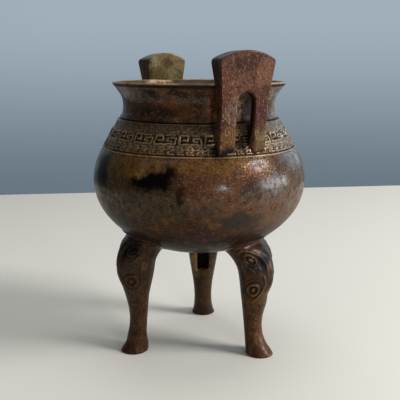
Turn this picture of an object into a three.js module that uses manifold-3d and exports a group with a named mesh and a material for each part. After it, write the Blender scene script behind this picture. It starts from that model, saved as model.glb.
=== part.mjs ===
import * as THREE from "three";
import { mergeVertices } from "three/addons/utils/BufferGeometryUtils.js";
import Module from "manifold-3d";

// A small cast bronze ding: a round hollow cauldron with a flared lip, two upright slotted ears that
// stand on its shoulder, a band of squared scrolls and three legs with animal masks, all one casting.
// Sizes are in millimetres, angles in degrees. +Z is up, the floor is z = 0 and the vessel's axis is Z.
// The ears stand on the X axis, the odd leg points along -Y.

// Belly: two half ellipses that meet at the widest ring, with one wall thickness all over
const BELLY_RADIUS = 75;
const BELLY_HEIGHT = 122.3;
const BELLY_DROP = 52.3;
const BELLY_RISE = 54;
const WALL = 3;
const BODY_SIDES = 44;
const BODY_STEPS = { drop: 9, rise: 3, neck: 6 };
const CAVITY_SIDES = 30;
const CAVITY_STEPS = { drop: 6, rise: 2, neck: 4 };

// Shoulder: a straight cone from the raised cord up to the bead under the neck
const CORD_HEIGHT = 145.4;
const CORD_RAISE = 0.7;
const CORD_HALF_WIDTH = 0.9;
const SHOULDER_TOP_HEIGHT = 164.6;
const SHOULDER_TOP_RADIUS = 56.7;
const BEAD_RAISE = 0.5;
const BEAD_WIDTH = 1.2;
const GROOVE_DEPTH = 0.9;

// Neck and lip: the neck's two lines are given as [distance from the axis, height]
const LIP_RADIUS = 60.4;
const LIP_HEIGHT = 190;
const LIP_EDGE = 1.2;
const LIP_TOP_WIDTH = 2.2;
const MOUTH_RADIUS = LIP_RADIUS - LIP_TOP_WIDTH;
const NECK_OUTSIDE = [
  [53.7, 168.8],
  [53.2, 174.5],
  [54.1, 179.9],
  [57.6, 185.2],
  [LIP_RADIUS, LIP_HEIGHT - LIP_EDGE],
];
const NECK_INSIDE = [
  [50.2, 168.8],
  [50.2, 175.5],
  [54.6, 184.8],
  [MOUTH_RADIUS, LIP_HEIGHT],
];

// Scroll band: one ring of paired square hooks half way up the shoulder
const SCROLL_COUNT = 24;
const SCROLL_TURN = 6.5;
const SCROLL_LOW_HEIGHT = 152.6;
const SCROLL_ROW = 7;
const SCROLL_LINE = 0.95;
const SCROLL_RAISE = 0.6;
const SCROLL_SINK = 0.9;

// Ears: cast by hand, so each has its own width, sideways lean, slot place and taper to its back
const EARS = [
  {
    azimuth: 0,
    topHalfWidth: 19.5,
    waistHalfWidth: 16.3,
    lean: 0.042,
    slotShift: 1,
    backTaper: 0,
  },
  {
    azimuth: 180,
    topHalfWidth: 19.3,
    waistHalfWidth: 15.6,
    lean: 0,
    slotShift: 0,
    backTaper: 0.0145,
  },
];
const EAR_CORNER_HEIGHT = 204.4;
const EAR_APEX_HEIGHT = 210;
const EAR_WAIST_HEIGHT = 168;
const EAR_ROOT_HEIGHT = 146;
const EAR_CURVE_STEPS = 4;
const SLOT_HALF_WIDTH = 6.2;
const SLOT_TOP_HEIGHT = 185;
const SLOT_ROOT_HEIGHT = 149;

// Ear side lines as [distance from the axis, height]: the outward face, then the face over the mouth
const EAR_FACE_RADIUS = 68.8;
const EAR_OUTWARD_LINE = [
  [64.6, EAR_ROOT_HEIGHT],
  [65.8, 158],
  [66.5, 172],
  [67.2, 186],
  [68.2, 198],
  [EAR_FACE_RADIUS, EAR_APEX_HEIGHT + 1],
];
const EAR_INWARD_LINE = [
  [54.8, EAR_APEX_HEIGHT + 1],
  [56.2, 198],
  [58, 189],
  [60.2, 178],
  [60, 167],
  [58, 157],
  [56, EAR_ROOT_HEIGHT],
];

// Legs: each has its own lift, the amount that its mask sits higher or lower than on the middle leg, its own slim,
// the amount that the front of its mask stands back, its own bow, the amount that its ankle stands out, and its own
// angles of the eye and the curl from straight out
const LEGS = [
  { azimuth: -90, lift: 2.4, slim: -0.9, bow: 2.2, eyeAngle: 44, curlAngle: 52 },
  { azimuth: 30, lift: -2.4, slim: 1.8, bow: 0, eyeAngle: 56, curlAngle: 66 },
  { azimuth: 150, lift: 0, slim: 0.6, bow: 0, eyeAngle: 50, curlAngle: 58 },
];
const SLIM_LOW = 38;
const SLIM_FULL = 50;
const BOW = { low: 2, lowFade: 12, high: 58, highFade: 22 };
const LEG_TOP = 89;
const LEG_SIDES = 14;
const LEG_RINGS = 11;
const LEG_RING_SPREAD = 1.2;
const NOSE = { raise: 1.6, low: 44, lowFade: 14, high: 86, highFade: 10, sharpness: 24 };
const EYE_HEIGHT = 74.5;
const EYE_SPIRAL = { inner: 3.2, outer: 8, turns: 1.15, endAngle: -100, opening: 3, steps: 9 };
const CURL_HEIGHT = 52.5;
const CURL_SPIRAL = { inner: 3.6, outer: 8.8, turns: 1.3, endAngle: 30, opening: 2.5, steps: 9 };
const MASK_LINE = 1.3;
const MASK_RAISE = 1;
const MASK_SINK = 1.2;
const PUPIL_RADIUS = 1.8;
const PUPIL_STEPS = 3;
const POCKET_WIDTH = 10.5;
const POCKET_LOW = 40;
const POCKET_HIGH = 64;
const POCKET_DEPTH = 6.5;

// Leg profiles as [height, value]: the front line and the back line are distances from the vessel's axis
const LEG_FRONT = smoothLine([
  [0, 61.6],
  [2.5, 60.4],
  [7, 56.6],
  [14, 53.4],
  [22, 52.2],
  [31, 53],
  [44, 56.6],
  [53, 59.8],
  [61, 60.8],
  [68, 60.2],
  [75, 58],
  [80, 54.4],
  [84, 50.4],
  [89, 45.5],
]);
const LEG_BACK = smoothLine([
  [0, 42],
  [7, 41],
  [20, 40],
  [40, 38.4],
  [58, 36.4],
  [66, 34.8],
  [72, 31],
  [78, 26],
  [89, 22],
]);
const LEG_HALF_WIDTH = smoothLine([
  [0, 9.4],
  [3, 8.3],
  [10, 7.2],
  [18, 6.9],
  [28, 7.7],
  [36, 9],
  [50, 11.4],
  [64, 13.2],
  [74, 15.4],
  [84, 21],
  [89, 23],
]);

// Bronze with a dark brown patina
const BRONZE = { color: 0x58402c, roughness: 0.45, metalness: 0.85 };

const wasm = await Module();
wasm.setup();

// A smooth curve through [position, value] pairs: cubic pieces whose slopes come from the neighbours.
function smoothLine(points) {
  const slopes = points.map((point, i) => {
    const before = points[Math.max(i - 1, 0)];
    const after = points[Math.min(i + 1, points.length - 1)];
    return (after[1] - before[1]) / (after[0] - before[0]);
  });
  return (position) => {
    let i = 0;
    while (i < points.length - 2 && position > points[i + 1][0]) i += 1;
    const [start, low] = points[i];
    const [end, high] = points[i + 1];
    const span = end - start;
    const t = (position - start) / span;
    const ease = t * t * (3 - 2 * t);
    const leave = t * (1 - t) * (1 - t) * span * slopes[i];
    const arrive = t * t * (t - 1) * span * slopes[i + 1];
    return low + (high - low) * ease + leave + arrive;
  };
}

// Pairs of numbers as flat points.
function flatPoints(pairs) {
  return pairs.map(([x, y]) => new THREE.Vector2(x, y));
}

// A closed geometry as a solid that can be joined and cut.
function solid(geometry) {
  geometry.deleteAttribute("normal");
  geometry.deleteAttribute("uv");
  const merged = mergeVertices(geometry, 1e-4);
  const vertProperties = merged.attributes.position.array;
  const triVerts = Uint32Array.from(merged.index.array);
  return new wasm.Manifold(new wasm.Mesh({ numProp: 3, vertProperties, triVerts }));
}

// Moves each vertex by a function of its own place.
function reshape(geometry, move) {
  const place = geometry.attributes.position;
  for (let i = 0; i < place.count; i += 1) {
    const moved = move(new THREE.Vector3().fromBufferAttribute(place, i));
    place.setXYZ(i, moved.x, moved.y, moved.z);
  }
  return geometry;
}

// The small step used to measure a surface's direction.
const NUDGE = 0.01;

// Lays a flat relief on a curved surface: x and y run along the surface, z stands out along its normal.
function drape(geometry, surface) {
  return reshape(geometry, ({ x, y, z }) => {
    const point = surface(x, y);
    const across = surface(x + NUDGE, y).sub(point);
    const along = surface(x, y + NUDGE).sub(point);
    return point.addScaledVector(across.cross(along).normalize(), z);
  });
}

// A flat outline raised into relief, from below the surface to above it.
function relief(shape, sink, raise) {
  const options = { depth: sink + raise, bevelEnabled: false, curveSegments: PUPIL_STEPS };
  const geometry = new THREE.ExtrudeGeometry(shape, options);
  return geometry.translate(0, 0, -sink);
}

// The outline of a line of even width drawn through corner points, with mitred corners.
function stroke(points, width) {
  const corners = flatPoints(points);
  const offset = (i, side) => {
    const before = corners[Math.max(i - 1, 0)];
    const after = corners[Math.min(i + 1, corners.length - 1)];
    const into = corners[i].clone().sub(before).normalize();
    const out = after.clone().sub(corners[i]).normalize();
    if (i === 0) into.copy(out);
    if (i === corners.length - 1) out.copy(into);
    const mitre = new THREE.Vector2(-into.y - out.y, into.x + out.x).normalize();
    const reach = (side * width) / 2 / (mitre.x * -into.y + mitre.y * into.x);
    return corners[i].clone().addScaledVector(mitre, reach);
  };
  const right = corners.map((corner, i) => offset(i, -1));
  const left = corners.map((corner, i) => offset(i, 1));
  return new THREE.Shape([...right, ...left.reverse()]);
}

// Points of a spiral that starts as a ring and opens faster and faster; a facing of -1 mirrors it.
function spiral({ inner, outer, turns, endAngle, opening, steps }, facing) {
  const points = [];
  for (let i = 0; i <= steps; i += 1) {
    const share = i / steps;
    const angle = THREE.MathUtils.degToRad(endAngle - 360 * turns * (1 - share));
    const radius = inner + (outer - inner) * share ** opening;
    points.push([facing * radius * Math.cos(angle), radius * Math.sin(angle)]);
  }
  return points;
}

// Radius of a belly ellipse at a height, for the outer face or for the inner one.
function bellyRadius(height, inset) {
  const half = (height < BELLY_HEIGHT ? BELLY_DROP : BELLY_RISE) - inset;
  return (BELLY_RADIUS - inset) * Math.sqrt(1 - ((height - BELLY_HEIGHT) / half) ** 2);
}

// Points of the belly from its lowest point, through the widest ring, up to a height.
function bellyPoints(inset, topHeight, steps) {
  const points = [];
  for (let i = 0; i < steps.drop; i += 1) {
    const angle = (Math.PI / 2) * (1 - i / steps.drop);
    const height = BELLY_HEIGHT - (BELLY_DROP - inset) * Math.sin(angle);
    points.push(new THREE.Vector2((BELLY_RADIUS - inset) * Math.cos(angle), height));
  }
  for (let i = 0; i <= steps.rise; i += 1) {
    const height = THREE.MathUtils.lerp(BELLY_HEIGHT, topHeight, i / steps.rise);
    points.push(new THREE.Vector2(bellyRadius(height, inset), height));
  }
  return points;
}

// A profile of radius and height turned about Z.
function turned(points, sides) {
  const geometry = new THREE.LatheGeometry(points, sides);
  return solid(geometry.rotateX(Math.PI / 2));
}

// The straight shoulder line runs from the cord to the bead.
const CORD_RADIUS = bellyRadius(CORD_HEIGHT, 0);
const SHOULDER_RUN = new THREE.Vector2(
  SHOULDER_TOP_RADIUS - CORD_RADIUS,
  SHOULDER_TOP_HEIGHT - CORD_HEIGHT,
);
const SHOULDER_UP = SHOULDER_RUN.clone().normalize();
const SHOULDER_OUT = new THREE.Vector2(SHOULDER_UP.y, -SHOULDER_UP.x);

// The outside of the vessel as a filled solid: belly, cord, shoulder, bead, groove, neck and lip.
function outerBody() {
  const cord = new THREE.Vector2(CORD_RADIUS, CORD_HEIGHT);
  const shoulderTop = new THREE.Vector2(SHOULDER_TOP_RADIUS, SHOULDER_TOP_HEIGHT);
  const onShoulder = (start, along, out) =>
    start.clone().addScaledVector(SHOULDER_UP, along).addScaledVector(SHOULDER_OUT, out);
  const neck = new THREE.SplineCurve(flatPoints(NECK_OUTSIDE));
  const profile = [
    ...bellyPoints(0, CORD_HEIGHT - CORD_HALF_WIDTH, BODY_STEPS),
    onShoulder(cord, -CORD_HALF_WIDTH / 2, CORD_RAISE),
    onShoulder(cord, CORD_HALF_WIDTH / 2, CORD_RAISE),
    onShoulder(cord, CORD_HALF_WIDTH, 0),
    onShoulder(shoulderTop, -BEAD_WIDTH / 2, 0),
    onShoulder(shoulderTop, 0, BEAD_RAISE),
    onShoulder(shoulderTop, BEAD_WIDTH / 2, BEAD_RAISE / 2),
    onShoulder(shoulderTop, BEAD_WIDTH, -GROOVE_DEPTH),
    ...neck.getPoints(BODY_STEPS.neck),
    new THREE.Vector2(LIP_RADIUS, LIP_HEIGHT - LIP_EDGE / 2),
    new THREE.Vector2(LIP_RADIUS - LIP_EDGE / 2, LIP_HEIGHT),
    new THREE.Vector2(0, LIP_HEIGHT),
  ];
  return turned(profile, BODY_SIDES);
}

// The space inside: the same curves one wall thickness in, carried up through the mouth.
function cavity() {
  const inward = SHOULDER_OUT.clone().multiplyScalar(-WALL);
  const shoulderFoot = new THREE.Vector2(CORD_RADIUS, CORD_HEIGHT).add(inward);
  const shoulderTop = new THREE.Vector2(SHOULDER_TOP_RADIUS, SHOULDER_TOP_HEIGHT).add(inward);
  const aboveLip = LIP_HEIGHT + WALL;
  const neck = new THREE.SplineCurve(flatPoints(NECK_INSIDE));
  const profile = [
    ...bellyPoints(WALL, shoulderFoot.y, CAVITY_STEPS),
    shoulderTop,
    ...neck.getPoints(CAVITY_STEPS.neck),
    new THREE.Vector2(MOUTH_RADIUS, aboveLip),
    new THREE.Vector2(0, aboveLip),
  ];
  return turned(profile, CAVITY_SIDES);
}

// Each scroll is one squared line along the row's foot whose two ends rise and hook inwards.
function scrollBand() {
  const pitch = 360 / SCROLL_COUNT;
  const lowRadius =
    CORD_RADIUS + (SHOULDER_RUN.x * (SCROLL_LOW_HEIGHT - CORD_HEIGHT)) / SHOULDER_RUN.y;
  const unitWidth = THREE.MathUtils.degToRad(pitch) * lowRadius;
  const corners = [
    [0.4, 0.46],
    [0.4, 0.93],
    [0.07, 0.93],
    [0.07, 0.07],
    [0.93, 0.07],
    [0.93, 0.66],
    [0.62, 0.66],
  ];
  const scroll = stroke(
    corners.map(([across, up]) => [across * unitWidth, up * SCROLL_ROW]),
    SCROLL_LINE,
  );
  const solids = [];
  for (let i = 0; i < SCROLL_COUNT; i += 1) {
    const surface = (across, up) => {
      const azimuth = THREE.MathUtils.degToRad(i * pitch + SCROLL_TURN) + across / lowRadius;
      const radius = lowRadius + SHOULDER_UP.x * up;
      const height = SCROLL_LOW_HEIGHT + SHOULDER_UP.y * up;
      return new THREE.Vector3(radius * Math.cos(azimuth), radius * Math.sin(azimuth), height);
    };
    solids.push(solid(drape(relief(scroll, SCROLL_SINK, SCROLL_RAISE), surface)));
  }
  return solids;
}

// One ear: its front outline with the slot, cut to its side profile, which thickens to the top.
function ear({ azimuth, topHalfWidth, waistHalfWidth, lean, slotShift, backTaper }) {
  const inPlace = (geometry) => solid(geometry.rotateZ(THREE.MathUtils.degToRad(azimuth)));
  const flareHeight = (EAR_WAIST_HEIGHT + EAR_CORNER_HEIGHT) / 2;
  const crownHeight = 2 * EAR_APEX_HEIGHT - EAR_CORNER_HEIGHT;
  const front = new THREE.Shape();
  front.moveTo(-waistHalfWidth, EAR_ROOT_HEIGHT);
  front.lineTo(waistHalfWidth, EAR_ROOT_HEIGHT);
  front.lineTo(waistHalfWidth, EAR_WAIST_HEIGHT);
  front.quadraticCurveTo(waistHalfWidth, flareHeight, topHalfWidth, EAR_CORNER_HEIGHT);
  front.quadraticCurveTo(0, crownHeight, -topHalfWidth, EAR_CORNER_HEIGHT);
  front.quadraticCurveTo(-waistHalfWidth, flareHeight, -waistHalfWidth, EAR_WAIST_HEIGHT);
  const slotArch = SLOT_TOP_HEIGHT - SLOT_HALF_WIDTH;
  const slot = new THREE.Path();
  slot.moveTo(slotShift - SLOT_HALF_WIDTH, SLOT_ROOT_HEIGHT);
  slot.lineTo(slotShift - SLOT_HALF_WIDTH, slotArch);
  slot.absarc(slotShift, slotArch, SLOT_HALF_WIDTH, Math.PI, 0, true);
  slot.lineTo(slotShift + SLOT_HALF_WIDTH, SLOT_ROOT_HEIGHT);
  front.holes.push(slot);

  const [outwardRoot, ...outwardRest] = flatPoints(EAR_OUTWARD_LINE);
  const [inwardTop, ...inwardRest] = flatPoints(EAR_INWARD_LINE);
  const side = new THREE.Shape();
  side.moveTo(outwardRoot.x, outwardRoot.y);
  side.splineThru(outwardRest);
  side.lineTo(inwardTop.x, inwardTop.y);
  side.splineThru(inwardRest);

  const reach = BELLY_RADIUS - WALL;
  const frontOptions = { depth: reach, bevelEnabled: false, curveSegments: EAR_CURVE_STEPS };
  const frontBlock = new THREE.ExtrudeGeometry(front, frontOptions);
  frontBlock.rotateX(Math.PI / 2).rotateZ(Math.PI / 2);
  reshape(frontBlock, (point) => {
    point.y *= 1 - backTaper * (EAR_FACE_RADIUS - point.x);
    point.y -= lean * (EAR_CORNER_HEIGHT - point.z);
    return point;
  });
  const sideOptions = { depth: reach, bevelEnabled: false, curveSegments: 1 };
  const sideBlock = new THREE.ExtrudeGeometry(side, sideOptions);
  sideBlock.rotateX(Math.PI / 2).translate(0, reach / 2, 0);
  return inPlace(frontBlock).intersect(inPlace(sideBlock));
}

// A point on a leg's skin, by height and by the angle round it from straight out, for a leg along +X.
function legPoint(height, angle, { lift, slim, bow }, fullness = 1) {
  const front = LEG_FRONT(height) - slim * THREE.MathUtils.smoothstep(height, SLIM_LOW, SLIM_FULL);
  const back = LEG_BACK(height);
  const within = ({ low, lowFade, high, highFade }) =>
    THREE.MathUtils.smoothstep(height, low, low + lowFade) *
    (1 - THREE.MathUtils.smoothstep(height, high - highFade, high));
  const ridge = NOSE.raise * within(NOSE) * Math.max(0, Math.cos(angle)) ** NOSE.sharpness;
  const outward = ((front - back) / 2) * Math.cos(angle) + ridge;
  const sideways = LEG_HALF_WIDTH(height) * Math.sin(angle);
  const raised = height + lift * THREE.MathUtils.smoothstep(height, 0, POCKET_LOW);
  const middle = (front + back) / 2 + bow * within(BOW);
  return new THREE.Vector3(middle + outward * fullness, sideways * fullness, raised);
}

// One leg: a cabriole post with a pocket in its back, and the eye and the snout curl on both cheeks.
function leg(placed) {
  const turn = THREE.MathUtils.degToRad(placed.azimuth);
  const inPlace = (geometry) => solid(geometry.rotateZ(turn));
  const post = new THREE.CylinderGeometry(1, 1, 1, LEG_SIDES, LEG_RINGS);
  reshape(post, ({ x, y, z }) => {
    const height = LEG_TOP * (y + 0.5) ** LEG_RING_SPREAD;
    return legPoint(height, Math.atan2(x, z), placed, Math.hypot(x, z));
  });
  const pocket = new THREE.BoxGeometry(2 * POCKET_DEPTH, POCKET_WIDTH, POCKET_HIGH - POCKET_LOW);
  pocket.translate(LEG_BACK(POCKET_LOW), 0, (POCKET_LOW + POCKET_HIGH) / 2 + placed.lift);
  let made = inPlace(post).subtract(inPlace(pocket));

  for (const side of [1, -1]) {
    const cheek = (height, angle) => {
      const middle = side * THREE.MathUtils.degToRad(angle);
      const nextTo = legPoint(height, middle + NUDGE, placed);
      const anglePerLength = NUDGE / nextTo.distanceTo(legPoint(height, middle, placed));
      return (across, up) => legPoint(height + up, middle + across * anglePerLength, placed);
    };
    const eye = cheek(EYE_HEIGHT, placed.eyeAngle);
    const curl = cheek(CURL_HEIGHT, placed.curlAngle);
    const pupil = new THREE.Shape().absarc(0, 0, PUPIL_RADIUS, 0, 2 * Math.PI);
    const marks = [
      [stroke(spiral(EYE_SPIRAL, -side), MASK_LINE), eye],
      [pupil, eye],
      [stroke(spiral(CURL_SPIRAL, -side), MASK_LINE), curl],
    ];
    for (const [shape, surface] of marks) {
      const mark = relief(shape, MASK_SINK, MASK_RAISE);
      made = made.add(inPlace(drape(mark, surface)));
    }
  }
  return made;
}

const outside = [outerBody(), ...scrollBand()];
for (const placed of LEGS) outside.push(leg(placed));
for (const placed of EARS) outside.push(ear(placed));
const cast = outside.reduce((whole, piece) => whole.add(piece)).subtract(cavity());

const skin = cast.getMesh();
const geometry = new THREE.BufferGeometry();
geometry.setAttribute("position", new THREE.BufferAttribute(skin.vertProperties, 3));
geometry.setIndex(new THREE.BufferAttribute(skin.triVerts, 1));
geometry.computeVertexNormals();

const vessel = new THREE.Mesh(geometry, new THREE.MeshStandardMaterial(BRONZE));
vessel.name = "ding_vessel";

const ding = new THREE.Group();
ding.add(vessel);

export default ding;
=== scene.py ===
import bpy
import numpy as np
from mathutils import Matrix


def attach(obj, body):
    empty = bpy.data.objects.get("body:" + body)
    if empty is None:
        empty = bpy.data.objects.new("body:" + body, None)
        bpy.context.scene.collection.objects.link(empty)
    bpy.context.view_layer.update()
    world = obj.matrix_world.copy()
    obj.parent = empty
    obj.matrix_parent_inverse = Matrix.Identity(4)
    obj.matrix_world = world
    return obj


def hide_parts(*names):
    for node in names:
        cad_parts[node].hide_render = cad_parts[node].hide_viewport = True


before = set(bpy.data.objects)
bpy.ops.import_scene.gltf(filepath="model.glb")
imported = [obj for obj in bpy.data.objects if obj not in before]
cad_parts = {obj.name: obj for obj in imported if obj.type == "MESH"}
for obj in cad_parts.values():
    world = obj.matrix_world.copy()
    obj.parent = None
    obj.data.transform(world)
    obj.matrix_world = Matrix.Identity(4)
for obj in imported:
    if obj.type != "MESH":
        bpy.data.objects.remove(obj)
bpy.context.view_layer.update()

# Body: a round hollow cauldron of cast bronze with a wall of about 3 mm, a flared lip, three rows of
# scrolls on the sloping shoulder and a raised cord under them. It is cast in one with the ears and legs.
# Its sizes are in millimetres, with z up from the floor.
BELLY_RADIUS = 75.0
BELLY_HEIGHT = 122.3
BELLY_DROP = 52.3
BELLY_RISE = 54.0
WALL = 3.0
CORD_HEIGHT = 145.4
SHOULDER_TOP_RADIUS = 56.7
SHOULDER_TOP_HEIGHT = 164.6
NECK_OUTSIDE = [(53.7, 168.8), (53.2, 174.5), (54.1, 179.9), (57.6, 185.2), (60.3, 188.6)]
LIP_ROUND = [(60.4, 189.1), (60.2, 189.6), (59.8, 189.9), (59.3, 190.0), (58.7, 189.9), (58.3, 189.6)]
NECK_INSIDE = [(58.0, 189.1), (54.6, 184.8), (51.6, 179.6), (50.2, 174.6), (50.2, 168.8)]
COARSE_COLUMNS = 280
BAND_COLUMNS = 4 * COARSE_COLUMNS
METRE = 1000
UNEVEN_WAVES = [(0.16, 3, 0.05, 0.0), (0.10, 5, -0.09, 1.3), (0.06, 9, 0.16, 2.1)]
UNEVEN_MOST = 0.32
POLE_RADIUS = 30.0


def flow(knots, position):
    """A smooth curve through (position, value) knots: cubic pieces whose slopes come from the neighbours."""
    where, value = np.array(knots, float).T
    slope = np.empty_like(value)
    slope[1:-1] = (value[2:] - value[:-2]) / (where[2:] - where[:-2])
    slope[0] = (value[1] - value[0]) / (where[1] - where[0])
    slope[-1] = (value[-1] - value[-2]) / (where[-1] - where[-2])
    i = np.clip(np.searchsorted(where, position) - 1, 0, len(where) - 2)
    span = where[i + 1] - where[i]
    t = (position - where[i]) / span
    ease = t * t * (3 - 2 * t)
    leave = t * (1 - t) ** 2 * span * slope[i]
    arrive = t * t * (t - 1) * span * slope[i + 1]
    return value[i] + (value[i + 1] - value[i]) * ease + leave + arrive


def traced(points, steps):
    """Radius and height at even steps along a smooth line through profile points."""
    radius, height = np.array(points, float).T
    order = np.arange(len(points))
    at = np.linspace(0, len(points) - 1, steps)
    return flow(np.stack([order, radius], 1), at), flow(np.stack([order, height], 1), at)


def belly_radius(height, inset):
    """Radius of the belly's ellipse at a height, for the outer face or one wall thickness in."""
    half = np.where(height < BELLY_HEIGHT, BELLY_DROP, BELLY_RISE) - inset
    return (BELLY_RADIUS - inset) * np.sqrt(1 - ((height - BELLY_HEIGHT) / half) ** 2)


def uneven(azimuth, height):
    """The slow unevenness of a hand-made mould in millimetres: waves round the axis that turn with height, each
    with a size, a count, a turn and a start, less their greatest sum, so that it only ever takes away."""
    waves = sum(size * np.sin(count * azimuth + turn * height + start) for size, count, turn, start in UNEVEN_WAVES)
    return waves - UNEVEN_MOST


def turned(radius, height, columns):
    """Rings of points: a profile of radius and height carried once round the axis, with the mould's unevenness,
    which fades out towards the poles."""
    azimuth = np.arange(columns) * 2 * np.pi / columns
    radius, height = radius[:, None], height[:, None]
    radius = radius + uneven(azimuth, height) * np.minimum(1, radius / POLE_RADIUS)
    height = np.broadcast_to(height, radius.shape)
    return np.stack([radius * np.cos(azimuth), radius * np.sin(azimuth), height], axis=2)


def step_up(value, low, high):
    """0 below low, 1 above high and an even curve between them."""
    t = np.clip((value - low) / (high - low), 0, 1)
    return t * t * (3 - 2 * t)


def hump(value, middle, width):
    """A bell-shaped rise: 1 at the middle, fading to nothing at about twice the width from it."""
    return np.exp(-(((value - middle) / width) ** 2))


def line_distance(across, up, lines):
    """Distance from each point to the nearest of several bent lines, each given by its corners."""
    nearest = np.full(np.broadcast(across, up).shape, np.inf)
    for line in lines:
        for (x0, y0), (x1, y1) in zip(line, line[1:]):
            dx, dy = x1 - x0, y1 - y0
            share = np.clip(((across - x0) * dx + (up - y0) * dy) / (dx * dx + dy * dy), 0, 1)
            nearest = np.minimum(nearest, np.hypot(across - x0 - share * dx, up - y0 - share * dy))
    return nearest


def thread(distance, width):
    """Height of a raised line with rounded edges: 1 within a quarter of its width of the middle, 0 past three
    quarters."""
    return 1 - step_up(distance, 0.25 * width, 0.75 * width)


def scroll_row(azimuth, along, low, tall, count, lines, width):
    """A row of equal scrolls: each repeat of the azimuth is one cell that holds the same bent lines. Gives the
    height of the lines and the dirt that lies along both sides of them."""
    cell = 2 * np.pi * BAND_RADIUS / count
    across = (azimuth * count / (2 * np.pi) % 1) * cell
    drawn = [[(x * cell, low + y * tall) for x, y in line] for line in lines]
    high = low + tall
    inside = step_up(along, low - ROW_FADE, low) * (1 - step_up(along, high, high + ROW_FADE))
    distance = line_distance(across, along, drawn)
    return thread(distance, width) * inside, hump(distance, width, DIRT_SPREAD * width) * inside


CORD_RADIUS = float(belly_radius(np.array(CORD_HEIGHT), 0))
BAND_RADIUS = 0.94 * CORD_RADIUS
SHOULDER_LENGTH = np.hypot(SHOULDER_TOP_RADIUS - CORD_RADIUS, SHOULDER_TOP_HEIGHT - CORD_HEIGHT)
UP_RADIUS = (SHOULDER_TOP_RADIUS - CORD_RADIUS) / SHOULDER_LENGTH
UP_HEIGHT = (SHOULDER_TOP_HEIGHT - CORD_HEIGHT) / SHOULDER_LENGTH
MAIN_SCROLL = [
    [(0.2, 0.46), (0.4, 0.46), (0.4, 0.93), (0.07, 0.93), (0.07, 0.07), (0.93, 0.07), (0.93, 0.66), (0.62, 0.66)],
    [(0.62, 0.66), (0.6, 0.36), (0.78, 0.34)],
    [(0.52, 0.95), (0.84, 0.93)],
]
LOW_SCROLL = [
    [(0.1, 0.92), (0.72, 0.9), (0.74, 0.62), (0.26, 0.36), (0.24, 0.1), (0.9, 0.1)],
    [(0.44, 0.74), (0.08, 0.58)],
    [(0.92, 0.62), (0.62, 0.32)],
]
HIGH_SCROLL = [
    [(0.32, 0.5), (0.6, 0.5), (0.6, 0.86), (0.12, 0.86), (0.12, 0.14), (0.86, 0.14), (0.86, 0.64)],
]
ROW_FADE = 0.3
DIRT_SPREAD = 0.35
# Each row: its turn, its low edge along the shoulder, its height, its number of scrolls, their lines and line width.
MAIN_ROW = (-0.113, 8.4, 6.9, 24, MAIN_SCROLL, 1.1)
LOW_ROW = (0.02, 1.5, 6.1, 66, LOW_SCROLL, 0.9)
HIGH_ROW = (0.05, 16.0, 5.4, 42, HIGH_SCROLL, 0.95)
MAIN_LIFT, LOW_LIFT, HIGH_LIFT = 0.86, 0.7, 0.38
CORD_WIDTH, CORD_LIFT, CORD_HOLLOW = 0.62, 0.62, 0.22
BEAD_PLACE, BEAD_WIDTH, BEAD_LIFT = 22.0, 0.5, 0.5
GROOVE_PLACE, GROOVE_WIDTH, GROOVE_DEPTH = 23.4, 0.62, 0.85
SUNK_LOW, SUNK_HIGH, SUNK_DEPTH = (1.0, 1.6), (15.4, 16.2), 0.12
PLAIN = 0.5


def shoulder(columns, along):
    """Rings up the sloping shoulder: a cone with the cord, three rows of scrolls, the bead and the groove on it.
    Small waves bend the scrolls as a hand cuts them, and slow ones wear them down in places. Gives the points, and
    how the relief shows there, from 0 in a hollow to 1 on a raised edge."""
    azimuth = np.arange(columns)[None, :] * 2 * np.pi / columns
    along = along[:, None]
    swayed = along + 0.14 * np.sin(11 * azimuth) + 0.1 * np.sin(29 * azimuth + 1)
    swayed = swayed + 0.14 * np.sin(71 * azimuth + 0.9 * along)
    drifted = azimuth + 0.005 * np.sin(23 * azimuth + 0.5 * along) + 0.004 * np.sin(57 * azimuth - 0.9 * along)
    kept = 0.78 + 0.22 * np.sin(17 * azimuth + 0.7 * along) * np.sin(7 * azimuth - 0.4 * along + 1)
    rows = [scroll_row(drifted + turn, swayed, *row) for turn, *row in (MAIN_ROW, LOW_ROW, HIGH_ROW)]
    (main, main_dirt), (low, low_dirt), (high, high_dirt) = rows
    main, low = main * kept, low * kept
    faded = 0.55 + 0.3 * np.sin(4 * azimuth + 0.4) * np.sin(0.5 * along + 7 * azimuth)
    cord = hump(along, 0, CORD_WIDTH)
    beside_cord = hump(along, 1.15, 0.45) + hump(along, -0.95, 0.4)
    bead = hump(along, BEAD_PLACE, BEAD_WIDTH)
    groove = hump(along, GROOVE_PLACE, GROOVE_WIDTH)
    sunk = step_up(along, *SUNK_LOW) * (1 - step_up(along, *SUNK_HIGH))
    lift = CORD_LIFT * cord - CORD_HOLLOW * beside_cord + BEAD_LIFT * bead - GROOVE_DEPTH * groove - SUNK_DEPTH * sunk
    lift = lift + MAIN_LIFT * main + LOW_LIFT * low + HIGH_LIFT * high * faded
    radius = CORD_RADIUS + UP_RADIUS * along + UP_HEIGHT * lift + uneven(azimuth, CORD_HEIGHT + along)
    height = CORD_HEIGHT + UP_HEIGHT * along - UP_RADIUS * lift
    points = np.stack([radius * np.cos(azimuth), radius * np.sin(azimuth), height], axis=2)
    seen = PLAIN + 0.4 * cord - 0.4 * beside_cord + 0.25 * bead - 0.5 * groove
    seen = seen + 0.38 * main + 0.36 * low + 0.18 * high * faded
    seen = seen - 0.5 * main_dirt - 0.32 * low_dirt - 0.12 * high_dirt
    return points, np.clip(seen, 0, 1)


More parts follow.
